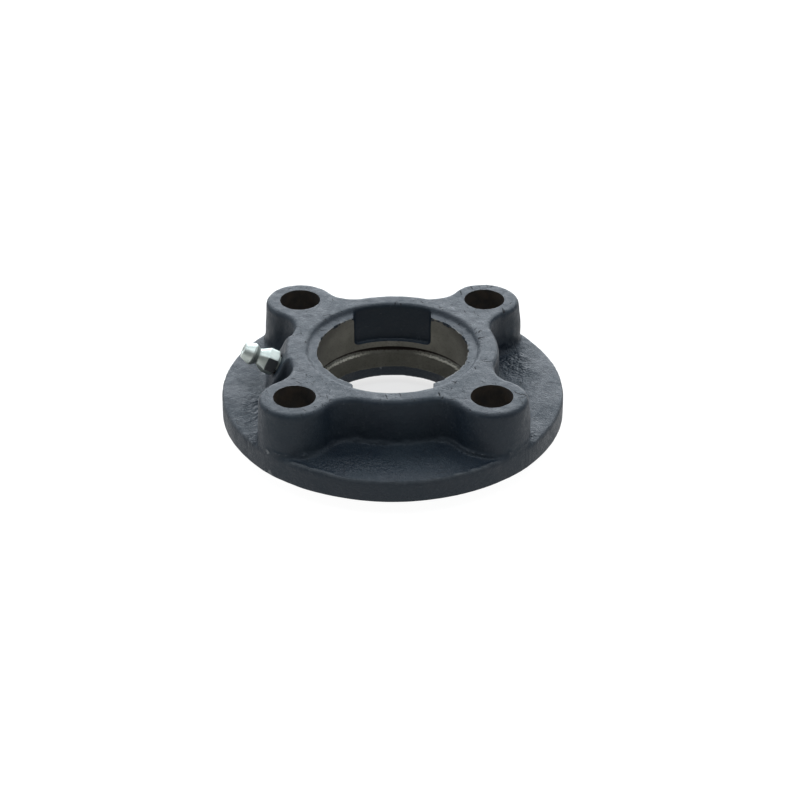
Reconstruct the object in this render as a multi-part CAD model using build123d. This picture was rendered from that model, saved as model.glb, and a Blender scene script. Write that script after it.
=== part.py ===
"""Round flange housing for a spherical-seat insert bearing, with its grease nipple.

Millimetres, +Z up. The origin is on the shaft axis, in the plane of the flange's mounting face.
The centring spigot reaches below that plane. The grease nipple leans out towards -X.
"""

from build123d import *
import math
import os

# ---- Flange and raised body --------------------------------------------------------------
flange_radius = 50.0
flange_thickness = 7.0
flange_edge_round = 0.9
housing_top = 20.5  # height of the hub and of the bosses above the mounting face
bolt_circle = 78.0
bolt_hole_radius = 6.0
boss_radius = 10.2  # at the top, before the draft widens it downwards
hub_radius = 30.7  # at the top
web_fillet = 8.5  # hollow corners in plan between the hub and each boss
draft_angle = 2.5
top_edge_round = 1.4
foot_size = 1.3  # sloped foot where the raised body meets the flange

# ---- Bearing seat -------------------------------------------------------------------------
seat_radius = 23.5  # fits an insert of 47 mm spherical outer diameter
seat_centre_height = 10.0
seat_bottom = 0.5  # the spherical surface runs from here ...
seat_top = 18.5  # ... to here
recess_radius = 24.8
recess_depth = 1.3
groove_middle = 5.9  # the grease groove turned in the seat
groove_width = 2.0
groove_radius = 24.2
groove_slope = 1.2  # the groove's lower side rises this much from the seat to its bottom
slot_width = 22.8  # the two opposite slots that let an insert in on edge
slot_floor = 8.5
slot_corner_round = 1.6

# ---- Centring spigot ----------------------------------------------------------------------
spigot_radius = 31.0
spigot_length = 5.0
spigot_chamfer = 1.0
counterbore_radius = 26.0
counterbore_depth = 2.4

# ---- Nipple pad and holes -----------------------------------------------------------------
nipple_tilt = 27.0  # the nipple's axis above the mounting face, pointing out towards -X
pad_edge_x = 30.6  # where the sloping pad face leaves the top of the hub
pad_width = 13.5
nipple_height = 14.5  # where the nipple's axis crosses the pad face
tapped_radius = 3.0
tapped_depth = 7.0
oil_hole_radius = 2.5
oil_hole_depth = 14.0  # from the pad face, far enough to break into the seat

# ---- Grease nipple ------------------------------------------------------------------------
hex_flats = 7.0
hex_bottom = 0.5  # the hexagon stops just short of the pad
hex_top = 3.4
hex_turn = -17.3  # how far the nipple was screwed in, as the hexagon's angle
hex_chamfer_radius = 3.95
neck_radius = 2.4
cone_top = 5.9  # heights along the nipple's axis, from the pad face
neck_top = 6.3
head_radius = 3.3
head_widest = 7.9
nipple_length = 10.8
end_face_radius = 2.2
thread_length = 5.5
thread_pitch = 1.0
thread_crest = 2.97
thread_root = 2.45
bore_radius = 1.4
mouth_radius = 0.8
lip_radius = 0.8  # the crimped lower end that holds the spring in
lip_length = 0.5
mouth_length = 0.35
ball_radius = 1.25
running_gap = 0.02
wire_radius = 0.2
spring_radius = 0.95
spring_turns = 11

# ---- Worked out from the above --------------------------------------------------------------
tilt = math.radians(nipple_tilt)
outward = Vector(-math.cos(tilt), 0, math.sin(tilt))
pad_drop = housing_top - nipple_height
pad_centre = Vector(-pad_edge_x - pad_drop * math.tan(tilt), 0, nipple_height)
nipple_plane = Plane(origin=pad_centre, x_dir=(0, -1, 0), z_dir=outward)
cone_start = nipple_length - mouth_length - (bore_radius - mouth_radius)
ball_height = cone_start + bore_radius - (ball_radius + running_gap) * math.sqrt(2)
spring_bottom = -thread_length + lip_length + wire_radius + running_gap
spring_drop = math.sqrt((ball_radius + wire_radius + running_gap) ** 2 - spring_radius**2)
spring_top = ball_height - spring_drop
overlap = 1.0  # how far a solid reaches into or past its neighbour before they are joined or cut


def boss_places():
    """Centres of the four bosses, at the corners of a square on the bolt circle."""
    half = bolt_circle / 2 / math.sqrt(2)
    return [(x * half, y * half) for x in (-1, 1) for y in (-1, 1)]


def raised_plan(growth):
    """The hub and bosses seen from above, every wall moved outwards by growth."""
    hub = hub_radius + growth
    boss = boss_radius + growth
    plan = Circle(hub)
    for x, y in boss_places():
        plan += Pos(x, y) * Circle(boss)
    waists = [v for v in plan.vertices() if is_waist(v, hub, boss)]
    return fillet(waists, web_fillet - growth)


def is_waist(vertex, hub, boss):
    """True where a boss circle crosses the hub circle."""
    on_hub = abs(math.hypot(vertex.X, vertex.Y) - hub) < 0.01
    on_boss = min(abs(math.hypot(vertex.X - x, vertex.Y - y) - boss) for x, y in boss_places()) < 0.01
    return on_hub and on_boss


def standing_cylinder(radius, bottom, top):
    """An upright cylinder between two heights."""
    return Pos(0, 0, (bottom + top) / 2) * Cylinder(radius, top - bottom)


def rim_cylinder(bottom, top):
    """The flange's outside, as a cylinder between two heights."""
    return standing_cylinder(flange_radius, bottom, top)


def flange():
    """The round flange with its rounded upper edge."""
    disc = rim_cylinder(0, flange_thickness)
    upper_edge = disc.edges().sort_by(Axis.Z)[-1]
    return fillet(upper_edge, flange_edge_round)


def drafted(top, top_growth, bottom, bottom_growth):
    """The raised plan carried from one height and size down to another."""
    plans = [Pos(0, 0, top) * raised_plan(top_growth), Pos(0, 0, bottom) * raised_plan(bottom_growth)]
    return loft(Sketch() + plans, ruled=True)


def raised_body():
    """Hub and bosses with draft, their rounded top edge and the sloped foot on the flange."""
    foot_top = flange_thickness + foot_size
    growth = (housing_top - foot_top) * math.tan(math.radians(draft_angle))
    buried = flange_thickness - overlap
    walls = drafted(housing_top, 0, foot_top, growth)
    walls = fillet(walls.edges().filter_by_position(Axis.Z, housing_top, housing_top), top_edge_round)
    foot = drafted(foot_top, growth, buried, growth + foot_size + overlap)
    return (walls + foot) & rim_cylinder(buried, housing_top + overlap)


def pad_block():
    """The block beside the hub that the nipple's sloping seat is cut on."""
    depth = pad_edge_x + (housing_top - flange_thickness) * math.tan(tilt)
    height = housing_top - flange_thickness / 2
    return Pos(-depth / 2, 0, flange_thickness / 2 + height / 2) * Box(depth, pad_width, height)


def beyond_pad_face():
    """The space outside the sloping pad face, as wide as the pad."""
    reach = hub_radius
    width = pad_width + overlap
    return nipple_plane * Pos(0, 0, reach / 2) * Box(width, 2 * reach, reach)


def spigot():
    """The ring that centres the housing in the machine's bore."""
    ring = standing_cylinder(spigot_radius, -spigot_length, overlap)
    lower_edge = ring.edges().sort_by(Axis.Z)[0]
    return chamfer(lower_edge, spigot_chamfer)


def seat_point(height):
    """The point of the seat's profile at a height above the mounting face."""
    return (math.sqrt(seat_radius**2 - (height - seat_centre_height) ** 2), height)


def seat_arc(low, high):
    """The stretch of the spherical seat's profile between two heights."""
    return ThreePointArc(seat_point(low), seat_point((low + high) / 2), seat_point(high))


def cavity():
    """Everything turned out round the shaft axis: counterbore, bore, seat, groove and recess."""
    bottom = -spigot_length - overlap
    shoulder = -spigot_length + counterbore_depth
    groove_low = groove_middle - groove_width / 2
    groove_high = groove_middle + groove_width / 2
    recess_floor = housing_top - recess_depth
    above = housing_top + overlap
    lower = Polyline(
        (0, bottom),
        (counterbore_radius, bottom),
        (counterbore_radius, shoulder),
        (seat_point(seat_bottom)[0], shoulder),
        seat_point(seat_bottom),
    )
    groove = Polyline(
        seat_point(groove_low),
        (groove_radius, groove_low + groove_slope),
        (groove_radius, groove_high),
        seat_point(groove_high),
    )
    upper = Polyline(
        seat_point(seat_top),
        (seat_point(seat_top)[0], recess_floor),
        (recess_radius, recess_floor),
        (recess_radius, above),
        (0, above),
        (0, bottom),
    )
    outline = lower + seat_arc(seat_bottom, groove_low) + groove + seat_arc(groove_high, seat_top) + upper
    return revolve(Plane.XZ * make_face(outline), Axis.Z)


def loading_slots():
    """The slot across the seat, front to back, open at the top."""
    height = housing_top + overlap - slot_floor
    block = Box(slot_width, 4 * recess_radius, height)
    long_edges = block.edges().filter_by(Axis.Y).group_by(Axis.Z)[0]
    block = Pos(0, 0, slot_floor + height / 2) * fillet(long_edges, slot_corner_round)
    return block & standing_cylinder(recess_radius, slot_floor, housing_top + overlap)


def bolt_holes():
    """The four through holes for the mounting bolts."""
    drill = standing_cylinder(bolt_hole_radius, -overlap, housing_top + overlap)
    return [Pos(x, y) * drill for x, y in boss_places()]


def nipple_holes():
    """The tapped hole under the nipple and the oil hole that goes on into the seat."""
    tapped = standing_cylinder(tapped_radius, -tapped_depth, overlap)
    oil_hole = standing_cylinder(oil_hole_radius, -oil_hole_depth, 0)
    return nipple_plane * (tapped + oil_hole)


def housing():
    """The cast housing with everything that is cut in it."""
    raised = raised_body() + pad_block() - beyond_pad_face()
    casting = flange() + raised + spigot()
    casting = casting - cavity() - loading_slots()
    for hole in bolt_holes():
        casting -= hole
    return casting - nipple_holes()


def thread_profile():
    """The shank's threads from the lower end up, one ridge to a pitch."""
    ridge = [(0.1, thread_root), (0.45, thread_crest), (0.55, thread_crest), (0.9, thread_root)]
    points = []
    for turn in range(int(thread_length / thread_pitch)):
        start = -thread_length + turn * thread_pitch
        points += [(radius, start + share * thread_pitch) for share, radius in ridge]
    return points


def nipple_body():
    """The nipple's turned steel body, hollow for the ball and spring."""
    turned = Polyline(
        (0, -thread_length),
        (thread_root, -thread_length),
        *thread_profile(),
        (thread_root, hex_bottom),
        (hex_chamfer_radius, hex_bottom),
        (hex_chamfer_radius, hex_top),
        (neck_radius, cone_top),
        (neck_radius, neck_top),
        (head_radius, head_widest),
        (end_face_radius, nipple_length),
        (0, nipple_length),
        (0, -thread_length),
    )
    body = revolve(Plane.XZ * make_face(turned), Axis.Z)
    hexagon = Rot(0, 0, hex_turn) * RegularPolygon(hex_flats / 2, 6, major_radius=False)
    hex_zone = extrude(hexagon, amount=cone_top)
    hex_zone += standing_cylinder(hex_flats, cone_top, nipple_length)
    hex_zone += standing_cylinder(thread_crest, -thread_length, hex_bottom)
    return nipple_plane * ((body & hex_zone) - nipple_channel())


def nipple_channel():
    """The passage through the nipple: mouth, ball seat, long bore and crimped lower end."""
    bottom = -thread_length - overlap
    channel = Polyline(
        (0, bottom),
        (lip_radius, bottom),
        (lip_radius, -thread_length + lip_length),
        (bore_radius, -thread_length + lip_length),
        (bore_radius, cone_start),
        (mouth_radius, cone_start + bore_radius - mouth_radius),
        (mouth_radius, nipple_length + overlap),
        (0, nipple_length + overlap),
        (0, bottom),
    )
    return revolve(Plane.XZ * make_face(channel), Axis.Z)


def check_ball():
    """The steel ball that closes the nipple's mouth."""
    return nipple_plane * Pos(0, 0, ball_height) * Sphere(ball_radius)


def ball_spring():
    """The wound spring behind the ball."""
    height = spring_top - spring_bottom
    path = Helix(height / spring_turns, height, spring_radius)
    wire = Plane(origin=path @ 0, z_dir=path % 0) * Circle(wire_radius)
    return nipple_plane * Pos(0, 0, spring_bottom) * sweep(wire, path, is_frenet=True)


def main():
    """Writes one STEP file for each piece."""
    os.makedirs("parts", exist_ok=True)
    pieces = {
        "housing": housing(),
        "grease_nipple_body": nipple_body(),
        "nipple_check_ball": check_ball(),
        "nipple_spring": ball_spring(),
    }
    for name, piece in pieces.items():
        export_step(piece, f"parts/{name}.step")


main()
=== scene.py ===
"""A round flange bearing housing of painted cast iron, with its zinc-plated grease nipple.

The casting is a distance field meshed on a fine grid, so its corners are as soft and uneven as
sand leaves them. The machined faces are then cut into it with turned and drilled tools.
Lengths named here are in millimetres, like those of the CAD model; meshes are in metres.
"""

import math
import bmesh
import bpy
import numpy as np
import openvdb
from mathutils import Matrix, Vector


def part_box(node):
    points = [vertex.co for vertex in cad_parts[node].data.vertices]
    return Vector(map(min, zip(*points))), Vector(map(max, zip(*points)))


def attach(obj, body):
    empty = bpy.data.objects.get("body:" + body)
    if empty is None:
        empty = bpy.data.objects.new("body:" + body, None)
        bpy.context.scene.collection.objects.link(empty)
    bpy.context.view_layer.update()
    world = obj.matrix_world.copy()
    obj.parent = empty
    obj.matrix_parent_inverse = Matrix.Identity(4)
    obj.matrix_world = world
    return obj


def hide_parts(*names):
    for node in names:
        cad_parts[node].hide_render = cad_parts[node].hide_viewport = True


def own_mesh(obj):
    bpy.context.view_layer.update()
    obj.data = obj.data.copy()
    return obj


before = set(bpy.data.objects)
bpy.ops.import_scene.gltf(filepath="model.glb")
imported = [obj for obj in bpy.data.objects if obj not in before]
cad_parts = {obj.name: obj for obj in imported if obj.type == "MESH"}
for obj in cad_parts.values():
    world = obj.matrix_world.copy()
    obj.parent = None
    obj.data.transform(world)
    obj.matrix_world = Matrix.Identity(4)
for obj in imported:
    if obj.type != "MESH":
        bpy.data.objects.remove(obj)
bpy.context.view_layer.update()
MM = 0.001

# ---- Sizes of the housing --------------------------------------------------------------------
low_corner, high_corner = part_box("housing")
FLANGE_R = high_corner.x / MM
TOP = high_corner.z / MM
SPIGOT_END = low_corner.z / MM
FLANGE_T = 7.0
FLANGE_EDGE = 1.0
RIM_START, RIM_DROP = 42.0, 0.4  # where the flange's top starts to fall away, and how far it falls
BOLT_HALF = 78.0 / 2 / math.sqrt(2)
BOLT_R = 6.0
BOSS_R = 10.2
HUB_R = 30.7
WEB_R = 8.5
DRAFT = math.radians(2.5)
TOP_EDGE = 1.4
FOOT_LOW, FOOT_HIGH = 0.8, 1.2  # the foot's hollow corner at the hub and at the bosses
CORE_R = 21.55
CORE_STEP = 0.22  # how much wider the core is above the middle of the seat
CORE_RAGGED = 0.2  # how far its edge there wanders
CORE_EDGE = 0.2
RECESS_R = 24.8
RECESS_FLOOR = TOP - 1.22
RECESS_EDGE = 1.1
SLOT_HALF = 11.4
SLOT_FLOOR = 8.5
SLOT_CORNER = 1.6
SEAT_R = 23.5
SEAT_Z = 10.0
GROOVE_R = 24.2
GROOVE_LOW, GROOVE_HIGH = 4.9, 6.8
GROOVE_SLOPE = 1.25  # the height over which the groove's lower side slopes out
SPIGOT_R = 31.0
SPIGOT_CHAMFER = 1.0
COUNTERBORE_R = 26.0
COUNTERBORE_TOP = -2.6
LATHE_STOCK = 2.0  # metal left below the spigot for the lathe to take off

# ---- Sizes of the nipple's pad -------------------------------------------------------------------
TILT = math.radians(27)
PAD_X = 30.6
PAD_HALF = 6.75
PAD_EDGE = 0.7
PAD_FOOT = 0.8
PAD_BACK = -22.0  # where the pad's block ends, inside the hub
NIPPLE_Z = 14.5
TAPPED_R, TAPPED_DEPTH = 3.0, 6.5
OIL_R, OIL_DEPTH = 2.5, 14.0
PAD_CENTRE = Vector((-PAD_X - (TOP - NIPPLE_Z) * math.tan(TILT), 0, NIPPLE_Z))
OUTWARD = Vector((-math.cos(TILT), 0, math.sin(TILT)))

# ---- What the sand mould leaves ---------------------------------------------------------------------
VOXEL = 0.466  # the grid's step
FIELD_LIMIT = 3.0  # distances beyond this are of no use to the mesher
SKIN_SHRINK = 0.06  # keeps the uneven skin inside the CAD model's outline
SLOW_LUMPS = (9.0, 11)  # lump size and seed of each noise
FAST_LUMPS = (2.6, 12)
FINE_LUMPS = (1.25, 13)
SEAM_LUMPS = (2.4, 14)
CORE_LUMPS = (1.5, 15)
CREST_WIDTH = 0.45  # the seam along the foot
FLASH_R, FLASH_DROP, FLASH_WIDTH = 49.0, 0.3, 0.6  # the seam along the flange's front rim
FLASH_X, FLASH_REACH = 24.0, 9.0

# Centre, reach and depth of each rough patch, then of each dent; a dent below 0 is a swelling.
ROUGH_SPOTS = (
    ((36.0, 12.0, 8.0), (5.5, 11.0, 3.2), 0.36),
    ((39.3, -27.5, 7.5), (2.5, 4.0, 2.0), 0.32),
    ((-40.0, -29.0, 7.5), (4.0, 5.0, 2.2), 0.34),
    ((-39.0, -13.0, 7.5), (5.0, 13.0, 2.5), 0.22),
    ((-8.0, -42.0, 7.0), (22.0, 4.5, 2.0), 0.06),
)
DENTS = (
    ((36.2, 19.0, 17.0), (3.2, 2.4, 3.6), 0.75),
    ((33.3, 18.4, 19.8), (1.6, 1.6, 1.6), 0.45),
    ((37.4, 20.2, 12.0), (2.4, 2.0, 2.0), -0.5),
    ((-33.4, 18.8, 12.0), (2.0, 2.0, 3.0), 0.4),
    ((41.0, -33.0, 3.0), (2.0, 2.0, 2.4), 0.22),
    ((39.0, 26.5, 12.5), (3.0, 8.0, 8.0), -0.6),
    ((39.0, -27.0, 12.5), (3.0, 8.0, 8.0), -0.5),
)


# ---- Distance fields, in millimetres --------------------------------------------------------------
def round_union(a, b, r):
    """Both shapes, with a hollow corner of radius r where they meet."""
    return np.maximum(r, np.minimum(a, b)) - np.hypot(np.maximum(r - a, 0), np.maximum(r - b, 0))


def round_common(a, b, r):
    """What the shapes share, with its edge rounded to radius r."""
    return np.minimum(-r, np.maximum(a, b)) + np.hypot(np.maximum(r + a, 0), np.maximum(r + b, 0))


def plan_distance(x, y):
    """Distance from the outline of hub and bosses seen from above."""
    u = np.maximum(np.abs(x), np.abs(y))
    v = np.minimum(np.abs(x), np.abs(y))
    hub = np.hypot(u, v) - HUB_R
    boss = np.hypot(u - BOLT_HALF, v - BOLT_HALF) - BOSS_R
    to_boss = math.hypot(BOLT_HALF, BOLT_HALF)
    to_web = HUB_R + WEB_R
    turn = math.acos((to_web**2 + to_boss**2 - (BOSS_R + WEB_R) ** 2) / (2 * to_web * to_boss))
    web = to_web * np.array([math.cos(math.pi / 4 - turn), math.sin(math.pi / 4 - turn)])
    sides = np.array([-web, np.array([BOLT_HALF, BOLT_HALF]) - web]).T
    a, b = np.einsum("ij,j...->i...", np.linalg.inv(sides), np.stack([u - web[0], v - web[1]]))
    in_web = (a >= 0) & (b >= 0) & (a + b <= 1)
    return np.where(in_web, WEB_R - np.hypot(u - web[0], v - web[1]), np.minimum(hub, boss))


def pad_field(x, y, z):
    """The block with the sloping face that the nipple sits on, open at the top."""
    slope = (x - PAD_CENTRE.x) * OUTWARD.x + (z - PAD_CENTRE.z) * OUTWARD.z
    sides = (np.abs(y) - PAD_HALF - (TOP - z) * math.tan(DRAFT)) * math.cos(DRAFT)
    return np.maximum(round_common(slope, sides, PAD_EDGE), x - PAD_BACK)


def recess_field(x, y, z):
    """The shallow recess turned into the hub's top."""
    return round_common(np.hypot(x, y) - RECESS_R, RECESS_FLOOR - z, RECESS_EDGE)


def hollow_field(x, y, z, ragged):
    """The cored bore with its loading slots and counterbore."""
    r = np.hypot(x, y)
    core = r - CORE_R - np.where(z > SEAT_Z, CORE_STEP + ragged, 0)
    slot = round_common(np.abs(x) - SLOT_HALF, SLOT_FLOOR - z, SLOT_CORNER)
    slot = round_common(slot, r - RECESS_R, 0.5)
    counterbore = np.maximum(r - COUNTERBORE_R, z - COUNTERBORE_TOP)
    return np.minimum.reduce([core, slot, counterbore])


def seam(across, above, width):
    """A low ridge: 1 where both distances are nothing, fading over its width."""
    return np.exp(-((across / width) ** 2) - (above / width) ** 2)


def casting_field(x, y, z, lumps, ragged):
    """The whole casting before machining."""
    r = np.hypot(x, y)
    walls = (plan_distance(x, y) - (TOP - z) * math.tan(DRAFT)) * math.cos(DRAFT)
    raised = round_union(walls, pad_field(x, y, z), PAD_FOOT)
    raised = round_common(raised, z - TOP, TOP_EDGE)
    dip = RIM_DROP * np.clip((r - RIM_START) / (FLANGE_R - RIM_START), 0, 1) ** 1.5
    disc = round_common(r - FLANGE_R, z - FLANGE_T + dip, FLANGE_EDGE)
    outer = np.clip((r - HUB_R - FOOT_LOW) / 5, 0, 1)
    foot = FOOT_LOW + (FOOT_HIGH - FOOT_LOW) * outer
    body = round_union(raised, disc, foot)
    crest = seam(walls - 0.3 * foot, z - FLANGE_T - 0.7 * foot, CREST_WIDTH)
    body -= crest * np.clip(0.2 + 0.9 * lumps, 0, 0.6)
    flash = seam(r - FLASH_R, z - FLANGE_T + FLASH_DROP, FLASH_WIDTH)
    flash = flash * np.exp(-(((np.abs(x) - FLASH_X) / FLASH_REACH) ** 4)) * (y < 0)
    body -= flash * np.clip(0.6 + 1.1 * lumps, 0, 1.1)
    body = round_common(body, r - FLANGE_R, 0.5)
    body = np.maximum(body, SPIGOT_END - LATHE_STOCK - z)
    body = round_common(body, -recess_field(x, y, z), RECESS_EDGE)
    return round_common(body, -hollow_field(x, y, z, ragged), CORE_EDGE)


def spot(x, y, z, centre, reach):
    """1 at the centre of a spot, fading to a fifth at its reach."""
    away = ((x - centre[0]) / reach[0]) ** 2 + ((y - centre[1]) / reach[1]) ** 2
    away += ((z - centre[2]) / reach[2]) ** 2
    return np.exp(-1.5 * away)


def lattice_noise(axes, size, seed):
    """Smooth noise from -1 to 1 on the grid, with lumps about size millimetres across."""
    values = np.random.default_rng(seed)
    cells = [(a - a[0]) / size for a in axes]
    field = values.uniform(-1, 1, [int(c[-1]) + 2 for c in cells])
    for axis, cell in enumerate(cells):
        low = cell.astype(int)
        part = cell - low
        part = part * part * (3 - 2 * part)
        shape = [1, 1, 1]
        shape[axis] = -1
        part = part.reshape(shape)
        field = np.take(field, low, axis) * (1 - part) + np.take(field, low + 1, axis) * part
    return field


def new_object(name, mesh):
    """An object for a mesh, linked to the scene."""
    piece = bpy.data.objects.new(name, mesh)
    bpy.context.scene.collection.objects.link(piece)
    return piece


def casting_mesh():
    """The casting, meshed from its distance field with a sand-cast unevenness."""
    margin = 3 * VOXEL
    reach = FLANGE_R + margin
    flat = np.arange(-reach, reach + VOXEL, VOXEL)
    height = np.arange(SPIGOT_END - LATHE_STOCK - margin, TOP + margin + VOXEL, VOXEL)
    x, y, z = np.meshgrid(flat, flat, height, indexing="ij")
    axes = (flat, flat, height)
    fine = lattice_noise(axes, *FINE_LUMPS)
    seam_lumps = lattice_noise(axes, *SEAM_LUMPS)
    ragged = CORE_RAGGED * np.tanh(3 * lattice_noise(axes, *CORE_LUMPS))
    field = casting_field(x, y, z, seam_lumps, ragged)
    field += 0.10 * lattice_noise(axes, *SLOW_LUMPS) + SKIN_SHRINK
    field += 0.055 * lattice_noise(axes, *FAST_LUMPS)
    field += 0.04 * fine
    for centre, size, depth in ROUGH_SPOTS:
        field += depth * fine * spot(x, y, z, centre, size)
    for centre, size, depth in DENTS:
        field += depth * spot(x, y, z, centre, size)
    grid = openvdb.FloatGrid(FIELD_LIMIT)
    grid.copyFromArray(np.clip(field, -FIELD_LIMIT, FIELD_LIMIT).astype(np.float32))
    points, quads = grid.convertToQuads(0.0)
    points = (points * VOXEL + [flat[0], flat[0], height[0]]) * MM
    mesh = bpy.data.meshes.new("casting")
    mesh.from_pydata(points.tolist(), [], quads.tolist())
    mesh.validate()
    return mesh


# ---- Machining tools ------------------------------------------------------------------------------
def turned(name, profile, place=Matrix.Identity(4), segments=192):
    """A closed solid turned from a profile of (radius, height), both ends on the axis."""
    build = bmesh.new()
    rings = []
    for radius, height in profile:
        if radius < 1e-6:
            rings.append([build.verts.new(place @ Vector((0, 0, height * MM)))])
            continue
        turn = [2 * math.pi * k / segments for k in range(segments)]
        ring = [Vector((radius * math.cos(t), radius * math.sin(t), height)) * MM for t in turn]
        rings.append([build.verts.new(place @ point) for point in ring])
    for one, two in zip(rings, rings[1:]):
        for k in range(segments):
            after = (k + 1) % segments
            corners = [one[k % len(one)], one[after % len(one)]]
            corners += [two[after % len(two)], two[k % len(two)]]
            corners = list(dict.fromkeys(corners))
            if len(corners) > 2:
                build.faces.new(corners)
    bmesh.ops.recalc_face_normals(build, faces=build.faces)
    mesh = bpy.data.meshes.new(name)
    build.to_mesh(mesh)
    build.free()
    return new_object(name, mesh)


def seat_profile():
    """A ball as large as the insert, with the grease groove as a ring round it."""
    def on_ball(height):
        return (math.sqrt(max(SEAT_R**2 - (height - SEAT_Z) ** 2, 0)), height)

    below = [on_ball(h) for h in np.linspace(SEAT_Z - SEAT_R, GROOVE_LOW - 0.2, 40)]
    above = [on_ball(h) for h in np.linspace(GROOVE_HIGH, SEAT_Z + SEAT_R, 60)]
    slope_end = GROOVE_LOW + GROOVE_SLOPE
    groove = [(GROOVE_R - 0.1, slope_end - 0.2), (GROOVE_R, slope_end), (GROOVE_R, GROOVE_HIGH - 0.1)]
    return below + groove + above


def underside_profile():
    """What the lathe takes off below: mounting face, spigot and its chamfer."""
    wide = FLANGE_R + 5
    deep = SPIGOT_END - 6
    spigot = [(0, SPIGOT_END), (SPIGOT_R - SPIGOT_CHAMFER, SPIGOT_END)]
    spigot += [(SPIGOT_R, SPIGOT_END + SPIGOT_CHAMFER), (SPIGOT_R, 0)]
    return spigot + [(wide, 0), (wide, deep), (0, deep)]


def drill_profile():
    """One bolt hole."""
    return [(0, SPIGOT_END), (BOLT_R, SPIGOT_END), (BOLT_R, TOP + 2), (0, TOP + 2)]


def nipple_hole_profile():
    """The tapped hole and the oil hole that goes on from it."""
    cone = TAPPED_R - OIL_R
    oil = [(0, -OIL_DEPTH), (OIL_R, -OIL_DEPTH), (OIL_R, -TAPPED_DEPTH - cone)]
    return oil + [(TAPPED_R, -TAPPED_DEPTH), (TAPPED_R, 2), (0, 2)]


def nipple_place():
    """The frame of the nipple: origin on the pad, Z along its axis, X to the front."""
    front = Vector((0, -1, 0))
    up = OUTWARD.cross(front)
    place = Matrix((front, up, OUTWARD)).transposed().to_4x4()
    place.translation = PAD_CENTRE * MM
    return place


def cut(piece, tool):
    """Takes the tool's volume out of the piece and gives the cut faces the tool's material."""
    change = piece.modifiers.new("cut", "BOOLEAN")
    change.operation = "DIFFERENCE"
    change.solver = "EXACT"
    change.material_mode = "TRANSFER"
    change.object = tool
    graph = bpy.context.evaluated_depsgraph_get()
    mesh = bpy.data.meshes.new_from_object(piece.evaluated_get(graph))
    piece.modifiers.clear()
    piece.data = mesh
    bpy.data.objects.remove(tool)


def make_housing(paint, machined, drilled):
    """The casting with every machined surface cut into it."""
    piece = new_object("housing_casting", casting_mesh())
    piece.data.materials.append(paint)
    tools = [
        (turned("underside_tool", underside_profile()), machined),
        (turned("seat_tool", seat_profile(), segments=256), machined),
        (turned("nipple_drill", nipple_hole_profile(), nipple_place(), 64), drilled),
    ]
    for x in (-1, 1):
        for y in (-1, 1):
            place = Matrix.Translation(Vector((x * BOLT_HALF, y * BOLT_HALF, 0)) * MM)
            tools.append((turned("bolt_drill", drill_profile(), place, 96), drilled))
    for tool, material in tools:
        tool.data.materials.append(material)
        cut(piece, tool)
    piece.data.name = "housing_casting"
    piece.data.shade_smooth()
    piece.data.set_sharp_from_angle(angle=math.radians(38))
    return piece


# ---- Nipple and ball spring -----------------------------------------------------------------------
HEX_HALF = 3.5
HEX_SOFT = 0.12  # how far from a facet's edge its softening starts
HEX_TURN = math.radians(12.7)
HEX_BOTTOM, HEX_TOP = 0.5, 3.4
CONE_TOP = 5.9
NIPPLE_LENGTH = 10.8
NECK_R = 2.4
HEAD_R = 3.3
THREAD_LENGTH = 5.5
THREAD_ROOT_R, THREAD_CREST_R = 2.45, 2.97
BORE_R = 1.4
BORE_TOP = 9.85
MOUTH_R = 0.8
CRIMP_R, CRIMP_HEIGHT = 0.8, 0.5
WIRE_R = 0.2
COIL_R = 0.95
COIL_TURNS = 11
COIL_LOW, COIL_HIGH = -4.78, 8.34


def softened(profile, steps=5):
    """The profile of (radius, height, rounding), with each corner turned into an arc."""
    points = [Vector(p[:2]) for p in profile]
    smooth = []
    for k, (point, spec) in enumerate(zip(points, profile)):
        before = points[k - 1] - point
        after = points[(k + 1) % len(points)] - point
        half = before.angle(after) / 2
        if not spec[2] or half > math.radians(88):
            smooth.append(point)
            continue
        reach = min(spec[2] / math.tan(half), 0.48 * before.length, 0.48 * after.length)
        start = point + before.normalized() * reach
        end = point + after.normalized() * reach
        for t in np.linspace(0, 1, steps):
            smooth.append(start * (1 - t) ** 2 + point * 2 * t * (1 - t) + end * t**2)
    return smooth


def thread_ridges():
    """The shank's profile from its lower end to the pad, one ridge to a millimetre."""
    ridges = []
    for turn in range(5):
        start = -THREAD_LENGTH + turn
        ridges.append((THREAD_ROOT_R, start + 0.1, 0.05))
        ridges.append((THREAD_CREST_R, start + 0.45, 0.04))
        ridges.append((THREAD_CREST_R, start + 0.55, 0.04))
        ridges.append((THREAD_ROOT_R, start + 0.9, 0.05))
    return ridges


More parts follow.
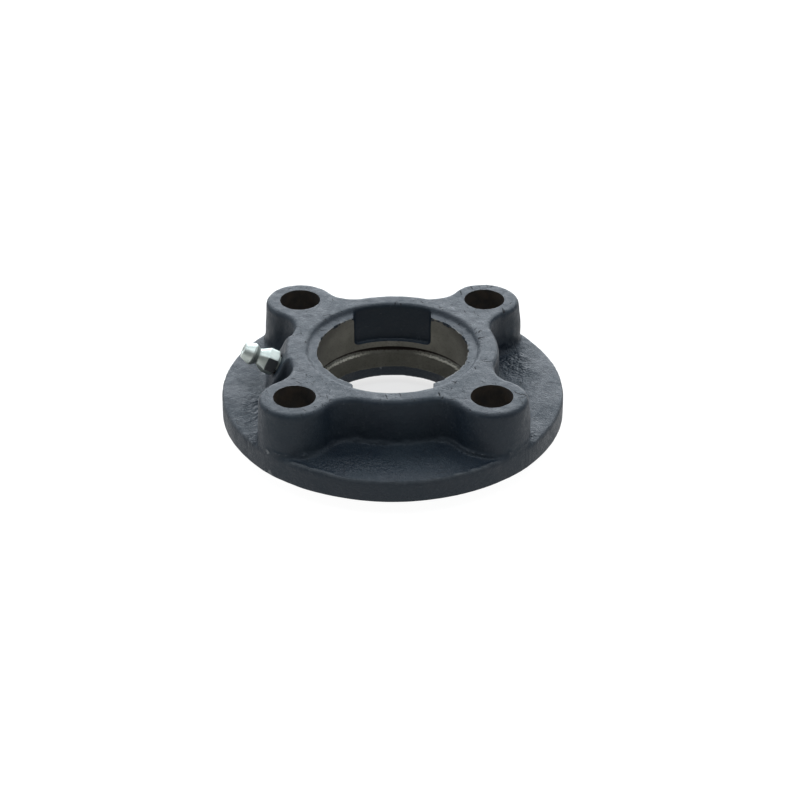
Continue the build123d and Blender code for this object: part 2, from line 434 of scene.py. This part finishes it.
def nipple_outline():
    """Once round the wall of the nipple: outside going up, then the channel going down."""
    corner_r = HEX_HALF + 0.45
    crimp_top = -THREAD_LENGTH + CRIMP_HEIGHT
    shank = [(2.3, -THREAD_LENGTH, 0.05), *thread_ridges(), (THREAD_ROOT_R, HEX_BOTTOM, 0)]
    hexagon = [(3.6, HEX_BOTTOM, 0.05), (corner_r, HEX_BOTTOM + 0.3, 0.1), (corner_r, HEX_TOP, 0.3)]
    neck = [(NECK_R, CONE_TOP, 1.2), (NECK_R, CONE_TOP + 0.4, 0.5)]
    head = [(HEAD_R - 0.1, 7.5, 0.4), (HEAD_R, 8.05, 0.5)]
    tip = [(2.25, NIPPLE_LENGTH - 0.12, 0.2), (2.05, NIPPLE_LENGTH, 0.1)]
    mouth = [(MOUTH_R + 0.12, NIPPLE_LENGTH, 0.1), (MOUTH_R, NIPPLE_LENGTH - 0.35, 0.05)]
    bore = [(BORE_R, BORE_TOP, 0.05), (BORE_R, crimp_top, 0)]
    crimp = [(CRIMP_R, crimp_top, 0), (CRIMP_R, -THREAD_LENGTH, 0.05)]
    return shank + hexagon + neck + head + tip + mouth + bore + crimp


def nipple_mesh(segments=180):
    """The nipple's body: a turned wall, its lower part milled to a hexagon."""
    outline = softened(nipple_outline())
    place = nipple_place()
    build = bmesh.new()
    rings = []
    for radius, height in outline:
        ring = []
        for k in range(segments):
            turn = 2 * math.pi * k / segments
            reach = radius
            if HEX_BOTTOM <= height <= CONE_TOP and radius > BORE_R + 0.1:
                from_facet = (turn - HEX_TURN + math.pi / 6) % (math.pi / 3) - math.pi / 6
                flat = HEX_HALF / math.cos(from_facet)
                near = max(HEX_SOFT - abs(radius - flat), 0)
                reach = min(radius, flat) - near**2 / (4 * HEX_SOFT)
            spot = Vector((reach * math.cos(turn), reach * math.sin(turn), height)) * MM
            ring.append(build.verts.new(place @ spot))
        rings.append(ring)
    for one, two in zip(rings, rings[1:] + rings[:1]):
        for k in range(segments):
            after = (k + 1) % segments
            build.faces.new((one[k], one[after], two[after], two[k]))
    bmesh.ops.recalc_face_normals(build, faces=build.faces)
    mesh = bpy.data.meshes.new("grease_nipple")
    build.to_mesh(mesh)
    build.free()
    mesh.shade_smooth()
    mesh.set_sharp_from_angle(angle=math.radians(40))
    return mesh


def spring_mesh(around=12, per_turn=28):
    """The ball's spring: one wound wire with closed ends."""
    place = nipple_place()
    build = bmesh.new()
    count = COIL_TURNS * per_turn
    rings = []
    for step in range(count + 1):
        share = step / count
        turn = 2 * math.pi * COIL_TURNS * share
        outward = Vector((math.cos(turn), math.sin(turn), 0))
        centre = outward * COIL_R
        centre.z = COIL_LOW + (COIL_HIGH - COIL_LOW) * share
        ring = []
        for k in range(around):
            a = 2 * math.pi * k / around
            spot = centre + WIRE_R * (math.cos(a) * outward + math.sin(a) * Vector((0, 0, 1)))
            ring.append(build.verts.new(place @ (spot * MM)))
        rings.append(ring)
    for one, two in zip(rings, rings[1:]):
        for k in range(around):
            after = (k + 1) % around
            build.faces.new((one[k], one[after], two[after], two[k]))
    build.faces.new(rings[0])
    build.faces.new(rings[-1])
    bmesh.ops.recalc_face_normals(build, faces=build.faces)
    mesh = bpy.data.meshes.new("ball_spring")
    build.to_mesh(mesh)
    build.free()
    mesh.shade_smooth()
    return mesh


# ---- Colours and zones of the materials ---------------------------------------------------------------
PAINT_DEEP = (0.0068, 0.0120, 0.0190, 1)
PAINT_PALE = (0.0100, 0.0168, 0.0238, 1)
PAINT_WORN = (0.040, 0.048, 0.056, 1)
PAINT_CREST_WEAR_AND_HIGHLIGHT = (0.075, 0.082, 0.088, 1)
PAINT_MARK = (0.004, 0.005, 0.007, 1)
PAINT_CHIP = (0.07, 0.068, 0.06, 1)
PAINT_IOR = 1.315
IRON_DULL = (0.088, 0.086, 0.072, 1)
IRON_BRIGHT = (0.135, 0.131, 0.112, 1)
IRON_GRAIN = (0.05, 0.047, 0.04, 1)
IRON_GROOVE_SHADE = (0.014, 0.010, 0.008, 1)
IRON_EDGE_HIGHLIGHT = (0.44, 0.42, 0.36, 1)
DRILLED_DARK = (0.014, 0.013, 0.012, 1)
DRILLED_RUST = (0.036, 0.026, 0.018, 1)
ZINC_DULL = (0.31, 0.35, 0.33, 1)
ZINC_BRIGHT = (0.42, 0.45, 0.42, 1)
# painted shade: the colour of the nipple's front facet, darkened for the dark surroundings it reflects
ZINC_PAINTED_SHADE = (0.045, 0.048, 0.055, 1)
SCRATCH_TURNS = (12, 63, -41, 102)
CREST_HIGHLIGHT_TOP = FLANGE_T + 2  # the pale crests, partly worn paint and partly a painted highlight, are kept below this height
LIP_R, LIP_Z = 21.94, 17.0  # the chipped lip between the recess and the seat
RUN_CENTRE, RUN_REACH = (40, -31, 4), (8, 7, 7)  # the streaked paint on the front right of the rim
GROOVE_SHADE_R = 23.9  # the groove is painted dark, as shade, from this radius out
EDGE_HIGHLIGHT_LOW, EDGE_HIGHLIGHT_HIGH = 4.9, 5.05  # the painted highlight along the edge below the groove
TOOL_PITCH = 0.25
BORE_SHADOW_R, OPEN_GLOW_R = 22, 30  # the floor's glow is dimmed inside the one radius, a painted shadow under the bore, and grows to full at the other
BORE_SHADOW_GLOW, OPEN_GLOW = 0.70, 0.96


# ---- Materials --------------------------------------------------------------------------------------
class Nodes:
    """A short way to write a material's node tree."""

    def __init__(self, name):
        self.material = bpy.data.materials.new(name)
        self.material.use_nodes = True
        self.tree = self.material.node_tree
        self.shader = self.tree.nodes["Principled BSDF"]
        self.place = self.tree.nodes.new("ShaderNodeTexCoord").outputs["Object"]

    def add(self, kind, **inputs):
        """A node with its inputs given as values or as other nodes' sockets."""
        node = self.tree.nodes.new(kind)
        for key, value in inputs.items():
            self.join(node.inputs[key.replace("_", " ")], value)
        return node

    def join(self, socket, value):
        """Sets a socket, or links it if the value is itself a socket."""
        if isinstance(value, bpy.types.NodeSocket):
            self.tree.links.new(value, socket)
        else:
            socket.default_value = value

    def noise(self, size_mm, detail=3.0, rough=0.55, place=None):
        """Cloudy noise with lumps of about that size."""
        node = self.add("ShaderNodeTexNoise", Vector=place or self.place, Scale=1 / (size_mm * MM))
        node.inputs["Detail"].default_value = detail
        node.inputs["Roughness"].default_value = rough
        return node.outputs["Fac"]

    def spread(self, value, low, high, to_low, to_high):
        """The value moved from one range to another, and held there."""
        ends = {"From_Min": low, "From_Max": high, "To_Min": to_low, "To_Max": to_high}
        return self.add("ShaderNodeMapRange", Value=value, **ends).outputs["Result"]

    def blend(self, share, one, two):
        """Two colours mixed by a share."""
        node = self.tree.nodes.new("ShaderNodeMix")
        node.data_type = "RGBA"
        self.join(node.inputs[0], share)
        self.join(node.inputs[6], one)
        self.join(node.inputs[7], two)
        return node.outputs[2]

    def maths(self, action, one, two=0.0):
        """One sum on two values."""
        node = self.tree.nodes.new("ShaderNodeMath")
        node.operation = action
        self.join(node.inputs[0], one)
        self.join(node.inputs[1], two)
        return node.outputs[0]

    def product(self, first, second):
        """Two values multiplied."""
        return self.maths("MULTIPLY", first, second)

    def axis(self, letter):
        """The object's coordinate along X, Y or Z, in metres."""
        return self.add("ShaderNodeSeparateXYZ", Vector=self.place).outputs[letter]

    def geometry(self, name):
        """One of the surface's own facts, such as its normal."""
        return self.tree.nodes.new("ShaderNodeNewGeometry").outputs[name]

    def bump(self, height, depth_mm, strength=1.0, under=None):
        """A bumped normal, on top of another one if given."""
        node = self.add("ShaderNodeBump", Height=height, Strength=strength, Distance=depth_mm * MM)
        if under is not None:
            self.join(node.inputs["Normal"], under)
        return node.outputs["Normal"]

    def scratches(self, turn, shift):
        """Short fine lines in one direction: 1 on a line, 0 off it."""
        node = self.tree.nodes.new("ShaderNodeMapping")
        node.vector_type = "TEXTURE"
        self.join(node.inputs["Vector"], self.place)
        node.inputs["Scale"].default_value = (6, 1, 1)
        node.inputs["Rotation"].default_value = (0, 0, math.radians(turn))
        node.inputs["Location"].default_value = (shift * MM, 0, 0)
        return self.spread(self.noise(0.8, 2, 0.5, node.outputs[0]), 0.685, 0.74, 0, 1)

    def stretched(self, scale, shift=(0, 0, 0)):
        """The object's coordinates scaled and shifted."""
        node = self.tree.nodes.new("ShaderNodeMapping")
        self.join(node.inputs["Vector"], self.place)
        node.inputs["Scale"].default_value = scale
        node.inputs["Location"].default_value = shift
        return node.outputs[0]

    def near(self, centre, reach):
        """1 about a centre, fading to 0 at the reach along each axis, all in millimetres."""
        scale = [1 / (r * MM) for r in reach]
        shift = [-c / r for c, r in zip(centre, reach)]
        length = self.tree.nodes.new("ShaderNodeVectorMath")
        length.operation = "LENGTH"
        self.join(length.inputs[0], self.stretched(scale, shift=shift))
        return self.spread(length.outputs["Value"], 0.35, 1.15, 1, 0)

    def radius(self):
        """Distance from the shaft axis, in metres."""
        flat = self.add("ShaderNodeCombineXYZ", X=self.axis("X"), Y=self.axis("Y"))
        length = self.tree.nodes.new("ShaderNodeVectorMath")
        length.operation = "LENGTH"
        self.join(length.inputs[0], flat.outputs[0])
        return length.outputs["Value"]

    def set(self, **inputs):
        """Inputs of the Principled shader."""
        for key, value in inputs.items():
            self.join(self.shader.inputs[key.replace("_", " ")], value)


def paint_marks(n):
    """Pits and short dark scratches: full strength on the upper tops, faint on the walls."""
    marks = n.spread(n.noise(1.15, 4, 0.7, n.stretched((1, 1, 1), shift=(0.3, 0, 0))), 0.65, 0.69, 0, 1)
    for turn in SCRATCH_TURNS:
        marks = n.maths("MAXIMUM", marks, n.scratches(turn, turn * 0.37))
    facing = n.add("ShaderNodeSeparateXYZ", Vector=n.geometry("Normal")).outputs["Z"]
    upward = n.spread(facing, 0.3, 0.85, 0.12, 1)
    high_up = n.spread(n.axis("Z"), (FLANGE_T + 1) * MM, 2 * FLANGE_T * MM, 0.45, 1)
    return n.product(marks, n.product(upward, high_up))


def paint_colour(n, cloud, lumps, fine, marks):
    """Blue-grey primer with worn specks, pale crests at the foot that are partly worn paint and partly a
    painted highlight, dark marks and a chipped lip.
    """
    colour = n.blend(n.spread(cloud, 0.35, 0.65, 0, 1), PAINT_DEEP, PAINT_PALE)
    specks = n.product(n.spread(lumps, 0.5, 0.66, 0, 0.6), n.spread(fine, 0.52, 0.64, 0, 1))
    colour = n.blend(specks, colour, PAINT_WORN)
    # partly a painted highlight: convex crests near the foot are made paler as where they catch the light,
    # and partly worn paint
    convex = n.spread(n.geometry("Pointiness"), 0.515, 0.57, 0, 1)
    low_down = n.spread(n.axis("Z"), CREST_HIGHLIGHT_TOP * MM, (CREST_HIGHLIGHT_TOP + 1) * MM, 1, 0)
    colour = n.blend(n.product(convex, low_down), colour, PAINT_CREST_WEAR_AND_HIGHLIGHT)
    colour = n.blend(marks, colour, PAINT_MARK)
    wander = n.spread(fine, 0.3, 0.7, 0.45 * MM, -0.45 * MM)
    inside = n.spread(n.maths("ADD", n.radius(), wander), (LIP_R + 0.04) * MM, (LIP_R - 0.04) * MM, 0, 1)
    above = n.spread(n.axis("Z"), LIP_Z * MM, (LIP_Z + 0.5) * MM, 0, 1)
    return n.blend(n.product(inside, above), colour, PAINT_CHIP)


def paint_normal(n, lumps, fine, marks, coarser):
    """Sand-cast skin: lumps, grain, sunk marks, blistered rough patches and one streaked run."""
    grit = n.noise(0.45, 3, 0.6)
    blisters = n.add("ShaderNodeTexVoronoi", Vector=n.place, Scale=1 / MM).outputs["Distance"]
    masks = [n.near(centre, reach) for centre, reach, _ in ROUGH_SPOTS]
    rough_skin = masks[0]
    for mask in masks[1:]:
        rough_skin = n.maths("MAXIMUM", rough_skin, n.product(mask, 0.75))
    normal = n.bump(lumps, 0.2, 0.7)
    normal = n.bump(n.product(n.maths("ADD", fine, grit), coarser), 0.10, 0.8, normal)
    normal = n.bump(marks, -0.12, 0.9, normal)
    normal = n.bump(n.product(blisters, rough_skin), -0.45, 1.0, normal)
    run = n.product(n.noise(0.9, 2, 0.5, n.stretched((1, 1, 0.06))), n.near(RUN_CENTRE, RUN_REACH))
    return n.bump(run, 0.4, 0.8, normal)


def paint_material():
    """Dark blue-grey primer over sand-cast skin, coarser on the flange than on the hub."""
    n = Nodes("cast_paint")
    cloud = n.noise(11, 4)
    lumps = n.noise(2.2, 5, 0.62)
    fine = n.noise(0.8, 5, 0.7)
    marks = paint_marks(n)
    coarser = n.spread(n.axis("Z"), (FLANGE_T + 0.4) * MM, (FLANGE_T + 1.2) * MM, 1.8, 1.0)
    rough = n.spread(n.maths("ADD", lumps, fine), 0.8, 1.2, 0.38, 0.54)
    rough = n.maths("ADD", rough, n.product(n.spread(cloud, 0.4, 0.65, 0, 0.08), coarser))
    rough = n.maths("MAXIMUM", rough, n.product(marks, 0.85))
    colour = paint_colour(n, cloud, lumps, fine, marks)
    normal = paint_normal(n, lumps, fine, marks, coarser)
    n.set(Base_Color=colour, Roughness=rough, Normal=normal, IOR=PAINT_IOR)
    return n.material


def groove_painted_shade(n, radius, sideways, grain):
    """1 where shade is painted dark in the groove, deepest in the middle of the back and front."""
    middle = n.spread(sideways, 2 * MM, 11 * MM, 0.35 * MM, 0)
    wander = n.spread(grain, 0.3, 0.7, -0.12 * MM, 0.12 * MM)
    depth = n.maths("ADD", n.maths("ADD", radius, middle), wander)
    return n.spread(depth, (GROOVE_SHADE_R - 0.1) * MM, (GROOVE_SHADE_R + 0.1) * MM, 0, 1)


def groove_edge_highlight(n, height, sideways, grain, groove_shade):
    """1 on the highlight painted along the ragged edge below the groove, left and right of the middle."""
    low = n.maths("ADD", height, n.spread(grain, 0.3, 0.7, -0.3 * MM, 0.3 * MM))
    above = n.spread(low, (EDGE_HIGHLIGHT_LOW - 0.25) * MM, EDGE_HIGHLIGHT_LOW * MM, 0, 1)
    below = n.spread(low, EDGE_HIGHLIGHT_HIGH * MM, (EDGE_HIGHLIGHT_HIGH + 0.3) * MM, 1, 0)
    side = n.spread(sideways, 6 * MM, 12 * MM, 0, 1)
    return n.product(n.product(n.product(above, below), side), n.spread(groove_shade, 0, 0.5, 1, 0))


def machined_material():
    """Turned cast iron, bare and a little oily, with rings left by the tool, shade painted in the groove
    and a highlight painted along its lower edge.
    """
    n = Nodes("turned_iron")
    cloud = n.noise(6, 4)
    grain = n.noise(0.5, 4, 0.6)
    radius = n.radius()
    height = n.axis("Z")
    sideways = n.maths("ABSOLUTE", n.axis("X"))
    path = n.maths("ADD", radius, height)
    ring = n.maths("SINE", n.product(path, 2 * math.pi / (TOOL_PITCH * MM)))
    streak = n.add("ShaderNodeCombineXYZ", X=n.product(path, 8.0))
    lines = n.noise(1.0, 3, 0.6, streak.outputs[0])
    colour = n.blend(n.spread(cloud, 0.3, 0.7, 0, 1), IRON_DULL, IRON_BRIGHT)
    colour = n.blend(n.spread(grain, 0.5, 0.75, 0, 0.6), colour, IRON_GRAIN)
    # painted shade: the groove is darkened where its floor would lie in shadow
    groove_shade = groove_painted_shade(n, radius, sideways, grain)
    colour = n.blend(groove_shade, colour, IRON_GROOVE_SHADE)
    # painted highlight: a bright band where the groove's lower edge would catch the side lights
    colour = n.blend(groove_edge_highlight(n, height, sideways, grain, groove_shade), colour, IRON_EDGE_HIGHLIGHT)
    normal = n.bump(ring, 0.003, 0.5)
    normal = n.bump(lines, 0.02, 0.5, normal)
    n.set(Base_Color=colour, Metallic=0.85, Roughness=n.spread(lines, 0.3, 0.7, 0.34, 0.5), Normal=normal)
    return n.material


def drilled_material():
    """The walls of the bolt holes: dark iron with a brown bloom of rust."""
    n = Nodes("drilled_iron")
    cloud = n.noise(3, 4)
    colour = n.blend(n.spread(cloud, 0.35, 0.65, 0, 1), DRILLED_DARK, DRILLED_RUST)
    n.set(Base_Color=colour, Metallic=0.2, Roughness=0.6, Normal=n.bump(n.noise(0.6, 4), 0.05, 0.5))
    return n.material


def zinc_material():
    """Bright zinc plating on turned steel, with shade painted dark on the facet that faces the front."""
    n = Nodes("zinc_plate")
    cloud = n.noise(2.2, 4)
    fine = n.noise(0.4, 4, 0.6)
    colour = n.blend(n.spread(cloud, 0.35, 0.65, 0, 1), ZINC_DULL, ZINC_BRIGHT)
    # painted shade: the facet that faces the front is darkened where it would reflect the dark flange
    sideways = Matrix.Rotation(HEX_TURN, 3, OUTWARD) @ Vector((0, -1, 0))
    across = n.tree.nodes.new("ShaderNodeVectorMath")
    across.operation = "DOT_PRODUCT"
    n.join(across.inputs[0], n.place)
    across.inputs[1].default_value = sideways
    facet = PAD_CENTRE.dot(sideways) + HEX_HALF
    facet_painted_shade = n.spread(across.outputs["Value"], (facet - 0.12) * MM, (facet - 0.03) * MM, 0, 0.9)
    colour = n.blend(facet_painted_shade, colour, ZINC_PAINTED_SHADE)
    rough = n.spread(fine, 0.3, 0.7, 0.40, 0.48)
    n.set(Base_Color=colour, Metallic=0.9, Roughness=rough, Normal=n.bump(fine, 0.02, 0.3))
    return n.material


def steel_material(name, tone, roughness):
    """Plain drawn or ground steel."""
    n = Nodes(name)
    fine = n.noise(0.3, 3)
    colour = n.blend(fine, (tone * 0.85, tone * 0.85, tone * 0.87, 1), (tone, tone, tone, 1))
    n.set(Base_Color=colour, Metallic=1.0, Roughness=n.spread(fine, 0.3, 0.7, roughness, roughness + 0.08))
    return n.material


def floor_material():
    """Pale matt acrylic that glows evenly, with a painted shadow under the bore where the glow is turned
    down.
    """
    n = Nodes("pale_floor")
    # painted shadow: the glow is lower under the bore
    glow_with_painted_shadow = n.spread(n.radius(), BORE_SHADOW_R * MM, OPEN_GLOW_R * MM, BORE_SHADOW_GLOW, OPEN_GLOW)
    n.set(Base_Color=(0.13, 0.13, 0.13, 1), Roughness=0.9, Specular_IOR_Level=0.1)
    n.set(Emission_Color=(1, 1, 1, 1), Emission_Strength=glow_with_painted_shadow)
    return n.material


# ---- The object ---------------------------------------------------------------------------------------
def build_object():
    """Every piece, riding on its body."""
    housing = make_housing(paint_material(), machined_material(), drilled_material())
    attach(housing, "housing")
    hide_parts("housing")

    nipple = new_object("grease_nipple", nipple_mesh())
    nipple.data.materials.append(zinc_material())
    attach(nipple, "housing")
    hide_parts("grease_nipple_body")

    spring = new_object("ball_spring", spring_mesh())
    spring.data.materials.append(steel_material("spring_wire", 0.42, 0.3))
    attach(spring, "housing")
    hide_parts("nipple_spring")
    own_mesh(spring)

    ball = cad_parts["nipple_check_ball"]
    ball.data.materials.clear()
    ball.data.materials.append(steel_material("ball_steel", 0.62, 0.12))


# ---- Floor, light and camera ----------------------------------------------------------------------------
FLOOR_HALF = 3.0  # metres
WORLD_STRENGTH = 0.27
LIGHT_TINT = (0.93, 1.0, 1.07)
LIGHT_DISTANCE = 1.3  # metres
# Name, azimuth and elevation in degrees, width and height in metres, and power in watts.
SOFTBOXES = (
    ("back_softbox", 177, 30, (1.6, 1.5), 36),
    ("left_softbox", -100, 35, (1.0, 1.0), 6.5),
    ("right_softbox", 85, 38, (1.0, 1.0), 4.0),
    ("top_softbox", 0, 80, (0.8, 0.8), 8),
)
CAMERA_ELEVATION = math.radians(31.275)
CAMERA_AZIMUTH = math.radians(-0.306)
CAMERA_AIM = Vector((0, 0, 0.010))
CAMERA_DISTANCE = 0.68057
CAMERA_LENS = 104.99
CAMERA_SHIFT = (0.0091, -0.0285)


def make_floor():
    """A wide pale sheet under the spigot."""
    mesh = bpy.data.meshes.new("floor")
    wide = FLOOR_HALF
    level = SPIGOT_END * MM
    corners = [(-wide, -wide, level), (wide, -wide, level), (wide, wide, level), (-wide, wide, level)]
    mesh.from_pydata(corners, [], [(0, 1, 2, 3)])
    floor = new_object("floor", mesh)
    floor.data.materials.append(floor_material())


def direction(azimuth, elevation):
    """The unit vector from the origin at those angles; azimuth 0 is the front."""
    flat = math.cos(elevation)
    return Vector((math.sin(azimuth) * flat, -math.cos(azimuth) * flat, math.sin(elevation)))


def add_softbox(name, azimuth, elevation, size, power):
    """A rectangular soft light aimed at the object."""
    way = direction(math.radians(azimuth), math.radians(elevation))
    light = bpy.data.lights.new(name, "AREA")
    light.shape = "RECTANGLE"
    light.size, light.size_y = size
    light.energy = power
    light.color = LIGHT_TINT
    lamp = bpy.data.objects.new(name, light)
    bpy.context.scene.collection.objects.link(lamp)
    lamp.location = way * LIGHT_DISTANCE
    lamp.rotation_mode = "QUATERNION"
    lamp.rotation_quaternion = (-way).to_track_quat("-Z", "Y")


def light_studio():
    """Dim surroundings, a large softbox behind, and smaller ones at each side and overhead."""
    world = bpy.data.worlds.new("studio")
    bpy.context.scene.world = world
    world.use_nodes = True
    background = world.node_tree.nodes["Background"]
    background.inputs["Color"].default_value = (1, 1, 1, 1)
    background.inputs["Strength"].default_value = WORLD_STRENGTH
    for softbox in SOFTBOXES:
        add_softbox(*softbox)


def make_camera():
    """The photograph's viewpoint: a long lens, about 31 degrees above the horizon."""
    back = direction(CAMERA_AZIMUTH, CAMERA_ELEVATION)
    data = bpy.data.cameras.new("camera")
    data.lens = CAMERA_LENS
    data.shift_x, data.shift_y = CAMERA_SHIFT
    data.clip_start = 0.01
    camera = bpy.data.objects.new("camera", data)
    bpy.context.scene.collection.objects.link(camera)
    camera.location = CAMERA_AIM + back * CAMERA_DISTANCE
    camera.rotation_mode = "QUATERNION"
    camera.rotation_quaternion = (-back).to_track_quat("-Z", "Y")
    bpy.context.scene.camera = camera
    bpy.context.scene.view_settings.view_transform = "Standard"


make_camera()
build_object()
make_floor()
light_studio()
